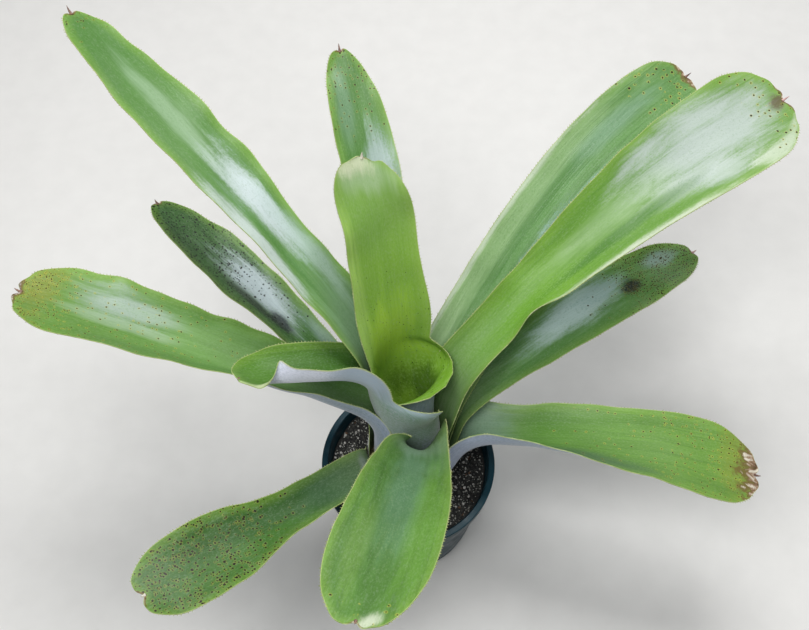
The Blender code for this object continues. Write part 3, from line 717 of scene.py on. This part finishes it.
def makeLeaf(letter, form, look):
    form = {**leafBasics, **form}
    form.setdefault("sheath", plant["sheath"] - plant["sheathDrop"] * form["nest"])
    look = {**lookBasics, "seed": form["nest"] + 1, **look}
    u, v, points, half, along, up = leafSheet(form)
    rows, columns = points.shape[:2]
    world = toPlant(points)
    faces = [(i * columns + j, (i + 1) * columns + j, (i + 1) * columns + j + 1, i * columns + j + 1)
             for i in range(rows - 1) for j in range(columns - 1)]
    leaf = addObject("leaf" + letter, world.reshape(-1, 3), faces)
    mesh = leaf.data
    acrossShare, alongShare = np.meshgrid(v, u)
    margin = np.minimum(half[:, None] * (1 - np.abs(acrossShare)), (1 - alongShare) * form["length"] + 0.2)
    maps = dict(leafMap=(acrossShare * half[:, None] * mm, alongShare * form["length"] * mm),
                shareMap=(acrossShare * 0.5 + 0.5, alongShare),
                edgeMap=(margin, (1 - alongShare) * form["length"]))
    corners = np.zeros(len(mesh.loops), int)
    mesh.loops.foreach_get("vertex_index", corners)
    for key, (first, second) in maps.items():
        pairs = np.stack([first.ravel()[corners], second.ravel()[corners]], 1)
        mesh.uv_layers.new(name=key).data.foreach_set("uv", pairs.ravel())
    group = leaf.vertex_groups.new(name="thickness")
    thin = plant["marginShare"] + (1 - plant["marginShare"]) * smooth(margin / plant["marginWide"])
    for index, weight in enumerate(thin.ravel()):
        group.add([index], float(weight), "REPLACE")
    back = silverBack
    if look["back"]:
        back = backSkin("silver-scaled leaf back " + letter, {**backLook, "marksAndPaintedLight": look["back"]})
    for skin in (leafSkin("upper leaf face " + letter, look), back, marginSkin):
        mesh.materials.append(skin)
    solid = leaf.modifiers.new("blade", "SOLIDIFY")
    solid.thickness = plant["thickness"] * mm
    solid.offset = 0.0
    solid.vertex_group = "thickness"
    solid.material_offset = 1
    solid.material_offset_rim = 2
    bakeModifiers(leaf)
    softShade(leaf, 55)
    place(leaf, "leaf_" + letter.lower())
    # the lines that the teeth stand on, then the spine
    for side in (0, columns - 1):
        inner = 1 if side == 0 else columns - 2
        outward = points[:, side] - points[:, inner]
        outward /= np.linalg.norm(outward, axis=1)[:, None] + 1e-9
        chosen = (u * form["length"] > form["sheath"] * marginForm["toothFrom"]) & (u < marginForm["toothTo"])
        marginLines.append((world[chosen, side], (outward + marginForm["toothAhead"] * along)[chosen] @ plantTurn.T))
    root, ahead, rise = points[-1, columns // 2], along[-1], up[-1]
    steps = np.linspace(0, 1, marginForm["spineSteps"])
    line = [root + ahead * (form["spine"] * t - marginForm["spineSunk"])
            + rise * (form["spine"] * form["spineUp"] * t * t) for t in steps]
    radii = [(marginForm["spineRadius"] * (1 - t) ** 0.8 + marginForm["spinePoint"]) * mm for t in steps]
    spineParts[form["spineTone"]].append(tube(toPlant(line), radii))


leafA = dict(
    nest=0, heading=128, turn=-25, length=271, rise=60, tipRise=50, sheath=108, sheathHalf=92, neckHalf=34, maxHalf=30,
    maxAt=0.72, tipPower=5.0, channel=30, tipChannel=20, spine=5, rollBase=-10, wrap=2.6, hold=0.7, fall=0.2,
    overlap=0.55, drift=(2, -1), lip=12, squash=0.48, lipAt=95, lean=9, spineTone=2)
# painted light: the bright yellow-green foot (base) and the bright patches at 0.46 and 0.5 stand for light shining
# through the leaf; the dark patches at 0.34 and 0.26 are painted shade deep in the cup
lookA = dict(
    base="#93bd38", deep="#86b23a", fresh="#80aa42", tipTone="#85ac5c", shade="#648f30", neckAt=0.42, freshAt=0.7,
    mottle=0.3, veins=0.18, grey=0.2, limeTone="#a2c65c", halo=0.0, scorch=0.8,
    specks=[(3.0, 0.3, 0.75, 0.4, 0.12)], marksAndPaintedLight=[
        (0.96, 0.0, 0.06, 1.0, 0.6, "#a3ba94"), (0.99, 0.5, 0.04, 0.9, 0.6, "#dfe0c4"),
        (0.34, -0.85, 0.07, 0.5, 0.6, "#4a761b"), (0.26, -0.55, 0.08, 0.7, 0.75, "#2c4e0e"),
        (0.46, 0.2, 0.1, 0.6, 0.5, "#a8cc3c"), (0.55, 0.9, 0.3, 0.3, 0.5, "#aacb6c"),
        (0.5, -0.1, 0.12, 0.5, 0.5, "#9cc43a"), (0.8, 0.2, 0.08, 0.5, 0.3, "#6f9a4a")])
makeLeaf("A", leafA, lookA)

leafH = dict(
    nest=1, heading=152, turn=-23, length=474, rise=43, tipRise=-2, sheath=88, maxHalf=29, tipPower=1.7, channel=25,
    roll=10, spine=9, waves=[(-1, 0.62, 0.04, 4, 0), (-1, 0.48, 0.08, -5, 0)])
# the silvery patches at 0.56 and 0.44 are scale bloom with a painted sheen laid in
lookH = dict(
    deep="#6a9650", fresh="#588540", tipTone="#507b3c", shade="#466f2e",
    specks=[(4.0, 0.5, 0.92, 0.99, 0.2)], halo=0.2, marksAndPaintedLight=[
        (0.56, -0.2, 0.12, 0.45, 0.85, "#c9d4d8"), (0.44, -0.45, 0.13, 0.4, 0.6, "#b3c6c0"),
        (0.74, -0.1, 0.14, 0.35, 0.5, "#9cb697"), (0.5, 0.85, 0.12, 0.3, 0.75, "#ccd6d6"),
        (0.3, 0.0, 0.14, 0.8, 0.55, "#86a886"), (0.48, 0.35, 0.16, 0.12, 0.5, "#4d7d3c")])
makeLeaf("H", leafH, lookH)

leafB = dict(
    nest=2, heading=194, turn=4, length=222, rise=20, tipRise=-8, sheath=88, sheathHalf=50, neckHalf=30, hold=0.88,
    fall=0.11, overlap=-0.45, maxHalf=31, tipPower=2.7, channel=60, tipChannel=85, roll=38, rollBase=20, spine=1.5,
    notch=0, curl=45, curlFrom=0.82, waves=[(1, 0.86, 0.035, -6, 7), (1, 0.62, 0.07, 0, 7), (1, 0.95, 0.04, 0, -7)])
# on the back, the pale lilac and near-white patches at 0.66 and 0.8 are silver scale with a painted highlight near the
# margin
lookB = dict(
    deep="#3b6220", fresh="#406a22", tipTone="#5a8630", shade="#34591b", scorch=0.4,
    marksAndPaintedLight=[(0.9, 0.9, 0.1, 0.4, 0.8, "#c9d3a8"), (0.6, 0.2, 0.25, 0.5, 0.4, "#436d26")], back=[
        (0.35, 0.4, 0.24, 2.2, 0.8, "#7b9a7c"), (0.66, 0.9, 0.2, 0.5, 0.8, "#b6c5dc"),
        (0.8, 0.8, 0.12, 0.6, 1.0, "#e4e8f6")])
makeLeaf("B", leafB, lookB)

leafK = dict(
    nest=3, heading=40, turn=-9, length=455, drift=(15, -8), rise=47, tipRise=14, sheath=85, neckHalf=22, maxHalf=43,
    maxAt=0.88, waist=0.3, channel=60, tipChannel=8, roll=10, spine=7, spineTone=1, waves=[(-1, 0.4, 0.04, -6, 2)])
# the lavender patch at 0.82 is scale bloom with a painted sheen; the dark stripe at 0.6 is painted shade along the
# channel's fold
lookK = dict(
    deep="#79a83a", fresh="#669238", tipTone="#789e50", shade="#4f7f2c",
    specks=[(4.5, 0.35, 0.9, 0.97, 0.2)], marksAndPaintedLight=[
        (0.82, 0.15, 0.17, 0.8, 0.75, "#bcc4c6"), (0.62, 0.05, 0.14, 0.35, 0.4, "#9ab886"),
        (0.6, -0.4, 0.16, 0.16, 0.7, "#3f7024"), (0.82, -0.62, 0.05, 0.25, 0.6, "#b4c0ba"),
        (0.62, -1.0, 0.24, 0.16, 0.85, "#ccd4c0"), (0.93, -0.85, 0.07, 0.2, 0.7, "#cdd6c4"),
        (0.985, 0.05, 0.02, 0.3, 0.8, "#5b4330"), (0.35, -0.2, 0.1, 0.6, 0.3, "#4f8028")])
makeLeaf("K", leafK, lookK)

leafC = dict(
    nest=4, heading=-107.5, turn=-5, length=336, drift=(12, -24), sheath=50, bend=70, rise=48, tipRise=15,
    sheathHalf=24, neckHalf=26, maxHalf=36, channel=60, roll=18, spine=3, notch=5,
    waves=[(-1, 0.26, 0.08, -17, -2), (1, 0.19, 0.07, -6, 30)])
lookC = dict(
    deep="#4c7630", fresh="#537f36", tipTone="#588438", shade="#345a20", mottle=0.6, scorch=1.0,
    specks=[(6.0, 0.35, 0.9, 0.98, 0.14)], marksAndPaintedLight=[
        (0.52, 0.0, 0.32, 0.45, 0.5, "#5d7f6c"), (0.42, 0.5, 0.1, 0.8, 0.3, "#66866c"),
        (0.7, 0.6, 0.3, 0.3, 0.4, "#6f9c3e"), (0.985, 0.5, 0.03, 0.4, 0.75, "#cfd6bf"),
        (0.3, 0.0, 0.08, 1.6, 0.4, "#7d9484"), (0.8, -0.5, 0.16, 0.25, 0.3, "#74963f")])
makeLeaf("C", leafC, lookC)

leafJ = dict(
    nest=5, heading=61, turn=-24, length=430, bend=60, rise=40, tipRise=12, neckHalf=29, maxHalf=32, maxAt=0.85,
    tipPower=3.4, waist=0.35, channel=25, roll=10, spine=7)
# the bluish-white stripe at 0.44 is scale bloom on the ribs with a painted sheen
lookJ = dict(
    deep="#5a8842", fresh="#5c8b48", tipTone="#628e4c", shade="#406a2c", veins=0.4, ribs=0.9, scorch=5,
    mottle=0.3, specks=[(5.5, 0.5, 0.84, 0.96, 0.2)], marksAndPaintedLight=[
        (0.5, 0.75, 0.4, 0.5, 0.6, "#94b27e"), (0.44, -0.65, 0.25, 0.45, 0.85, "#a5bccb"),
        (0.8, 0.2, 0.14, 0.3, 0.4, "#88a695"), (0.5, 0.97, 0.4, 0.12, 0.7, "#c8d3bd"),
        (0.5, 0.2, 0.25, 0.16, 0.45, "#41702e")])
makeLeaf("J", leafJ, lookJ)

leafI = dict(nest=6, heading=110, length=355, rise=42, tipRise=20, neckHalf=19, maxHalf=26, tipPower=1.9, spine=7)
# the silvery patches at 0.68 and 0.55 are scale bloom with a painted sheen
lookI = dict(
    deep="#5d8c44", fresh="#618f4a", tipTone="#557f3e", shade="#3f682c", mottle=0.5, halo=0.2,
    specks=[(4.0, 0.6, 0.75, 0.95, 0.2)], marksAndPaintedLight=[
        (0.68, -0.35, 0.11, 0.45, 0.7, "#b4c3c6"), (0.55, -0.8, 0.2, 0.35, 0.65, "#b3c2c5"),
        (0.85, 0.4, 0.1, 0.4, 0.4, "#84a08e")])
makeLeaf("I", leafI, lookI)

leafL = dict(nest=7, heading=34, length=331, rise=34, tipRise=-5, neckHalf=17, maxHalf=27, maxAt=0.65, spineTone=1)
# the silvery patches at 0.58, 0.66 and 0.88 are scale bloom with a painted sheen; the near-black one at 0.75 is a real
# blotch
lookL = dict(
    deep="#5a8b42", fresh="#5b8a42", tipTone="#629544", shade="#3d6a2c", mottle=0.5, halo=0.12, ribs=0.7,
    specks=[(4.2, 0.6, 0.6, 0.85, 0.2), (2.2, 0.9, 0.7, 0.76, 0.3)], marksAndPaintedLight=[
        (0.58, 0.2, 0.16, 0.6, 0.8, "#b2c7c6"), (0.75, -0.1, 0.035, 0.34, 1.0, "#1c221a"),
        (0.88, 0.4, 0.06, 0.4, 0.6, "#a5b8bc"), (0.66, 0.3, 0.08, 0.35, 0.5, "#86a19c")])
makeLeaf("L", leafL, lookL)

leafF = dict(
    nest=8, heading=175, turn=-7, length=360, rise=26, tipRise=2, neckHalf=31, maxHalf=40, maxAt=0.8, tipPower=3.4,
    channel=85, tipChannel=20, flat=2.0, roll=12, rollBase=25)
# the silvery patch at 0.77 is scale bloom with a painted sheen, and the pale green one at 0.54 is painted light
lookF = dict(
    deep="#66924a", fresh="#6a9848", tipTone="#6f9544", shade="#45702c", scorch=3,
    scorchTone="#8b7a75", specks=[(5.0, 0.35, 0.4, 0.7, 0.15), (2.4, 0.75, 0.86, 0.97, 0.25)], marksAndPaintedLight=[
        (0.77, -0.38, 0.12, 0.4, 0.55, "#b4bdc2"), (0.78, 0.06, 0.14, 0.2, 0.45, "#a5b8a2"),
        (0.54, -0.2, 0.2, 0.6, 0.25, "#93b577"), (0.96, -0.2, 0.05, 1.0, 0.5, "#8d8a3c"),
        (0.6, 0.9, 0.35, 0.35, 0.5, "#47742e"), (0.25, 0.0, 0.12, 1.6, 0.5, "#41702c")])
makeLeaf("F", leafF, lookF)

leafD = dict(
    nest=9, heading=-10, length=297, rise=34, tipRise=-8, neckHalf=34, maxHalf=41, channel=85, flat=2.0, rollBase=-35,
    waves=[(1, 0.16, 0.1, 2, 10)])
# the dark grey-green patch at 0.45 along the near edge is painted shade in the channel
lookD = dict(
    deep="#54802f", fresh="#639134", tipTone="#76a044", shade="#3f6824", scorch=14,
    specks=[(5.5, 0.45, 0.4, 0.75, 0.15), (3.0, 0.3, 0.7, 0.95, 0.2)], marksAndPaintedLight=[
        (0.45, -0.75, 0.25, 0.4, 0.75, "#3f5f44"), (0.6, 0.2, 0.2, 0.4, 0.15, "#7a9a62"),
        (0.17, 0.2, 0.13, 1.4, 0.65, "#7d9888"), (0.93, 0.0, 0.05, 1.2, 0.4, "#8b8f38")])
makeLeaf("D", leafD, lookD)

leafG = dict(
    nest=10, heading=149, turn=-10, length=305, rise=26, tipRise=4, neckHalf=14, maxHalf=28, tipPower=1.7, channel=50,
    roll=15, spine=5)
# the silver patch at 0.63 is scale bloom with a painted sheen; the dark ones are real blotches
lookG = dict(
    deep="#40702e", fresh="#406c30", tipTone="#3b662c", shade="#1f3a19", mottle=0.5, neckAt=0.25, halo=0.0,
    speckTone="#12120e", specks=[(2.6, 0.75, 0.55, 0.85, 0.27), (4.4, 0.4, 0.4, 0.6, 0.24)], marksAndPaintedLight=[
        (0.63, -0.2, 0.15, 0.6, 0.9, "#b5c2c6"), (0.86, 0.0, 0.1, 1.2, 0.15, "#1f2c1e"),
        (0.52, 0.25, 0.04, 0.3, 0.9, "#242a2e"), (0.6, 0.45, 0.12, 0.2, 0.8, "#1f2b1d"),
        (0.38, -0.7, 0.12, 0.35, 0.5, "#93a8a4")])
makeLeaf("G", leafG, lookG)

leafE = dict(
    nest=11, heading=-141, turn=-3, length=272, rise=12, tipRise=2, neckHalf=19, waist=0.5, maxHalf=31, tipPower=3.6,
    channel=50, rollBase=8, spine=4, spineTone=2, notch=6, notchHalf=5)
lookE = dict(
    deep="#2f561c", fresh="#335c1f", tipTone="#3d6826", shade="#264816", grey=0.12, halo=0.14,
    scorch=1.5, specks=[(3.2, 0.7, 0.5, 0.72, 0.27), (5.5, 0.5, 0.42, 0.65, 0.2)], marksAndPaintedLight=[
        (0.35, 0.0, 0.14, 0.9, 0.5, "#4f6c50"), (0.7, 0.5, 0.25, 0.5, 0.3, "#5c8a3c"),
        (0.2, 0.1, 0.02, 0.9, 0.6, "#aab3a8"), (0.6, -0.2, 0.12, 0.4, 0.2, "#436a3c")])
makeLeaf("E", leafE, lookE)
print("leaves made")


# teeth along every margin, and a spine at each tip

toothForm = dict(spacing=2.6, height=1.5, radius=0.42, smallest=0.45, largest=1.15, seed=6)


def teethTree(form):
    tree, given = startTree("marginTeeth", ("Spacing", "Height", "Radius"))
    curve = addNode(tree, "GeometryNodeMeshToCurve", {"Mesh": given["Geometry"]})
    spaced = addNode(tree, "GeometryNodeResampleCurve", {"Curve": curve, "Length": given["Spacing"]}, mode="LENGTH")
    tooth = addNode(tree, "GeometryNodeMeshCone", {
        "Vertices": 5, "Radius Top": 0.0, "Radius Bottom": given["Radius"], "Depth": given["Height"]
    }, fill_type="NONE")
    aim = addNode(tree, "GeometryNodeInputNamedAttribute", {"Name": "toothAim"}, data_type="FLOAT_VECTOR")
    turn = addNode(tree, "FunctionNodeAlignRotationToVector", {"Vector": aim}, axis="Z")
    size = addNode(tree, "FunctionNodeRandomValue", {2: form["smallest"], 3: form["largest"], "Seed": given["Seed"]})
    laid = addNode(tree, "GeometryNodeInstanceOnPoints", {
        "Points": spaced, "Instance": tooth, "Rotation": turn, "Scale": size.outputs[1]})
    real = addNode(tree, "GeometryNodeRealizeInstances", {"Geometry": laid})
    endTree(tree, real, given["Material"])
    return tree


points, edges, aims = [], [], []
for line, aim in marginLines:
    start = len(points)
    points += [tuple(p) for p in line]
    aims += [tuple(a) for a in aim]
    edges += [(k, k + 1) for k in range(start, len(points) - 1)]
teeth = addObject("marginTeeth", points, edges=edges)
teeth.data.attributes.new("toothAim", "FLOAT_VECTOR", "POINT").data.foreach_set("vector", np.array(aims).ravel())
growOn(teeth, teethTree(toothForm), {
    "Spacing": toothForm["spacing"] * mm, "Height": toothForm["height"] * mm, "Radius": toothForm["radius"] * mm,
    "Seed": toothForm["seed"], "Material": toothSkin})
place(teeth, None)

for tone, parts in spineParts.items():
    points, faces = [], []
    for verts, made in parts:
        faces += [tuple(k + len(points) for k in face) for face in made]
        points += verts
    spines = addObject("tipSpines" + "ABC"[tone], points, faces)
    spines.data.materials.append(spineSkins[tone])
    softShade(spines, 60)
    place(spines, None)
print("teeth and tip spines made")

triangles = 0
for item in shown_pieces():
    item.data.calc_loop_triangles()
    triangles += len(item.data.loop_triangles)
print("triangles", triangles)
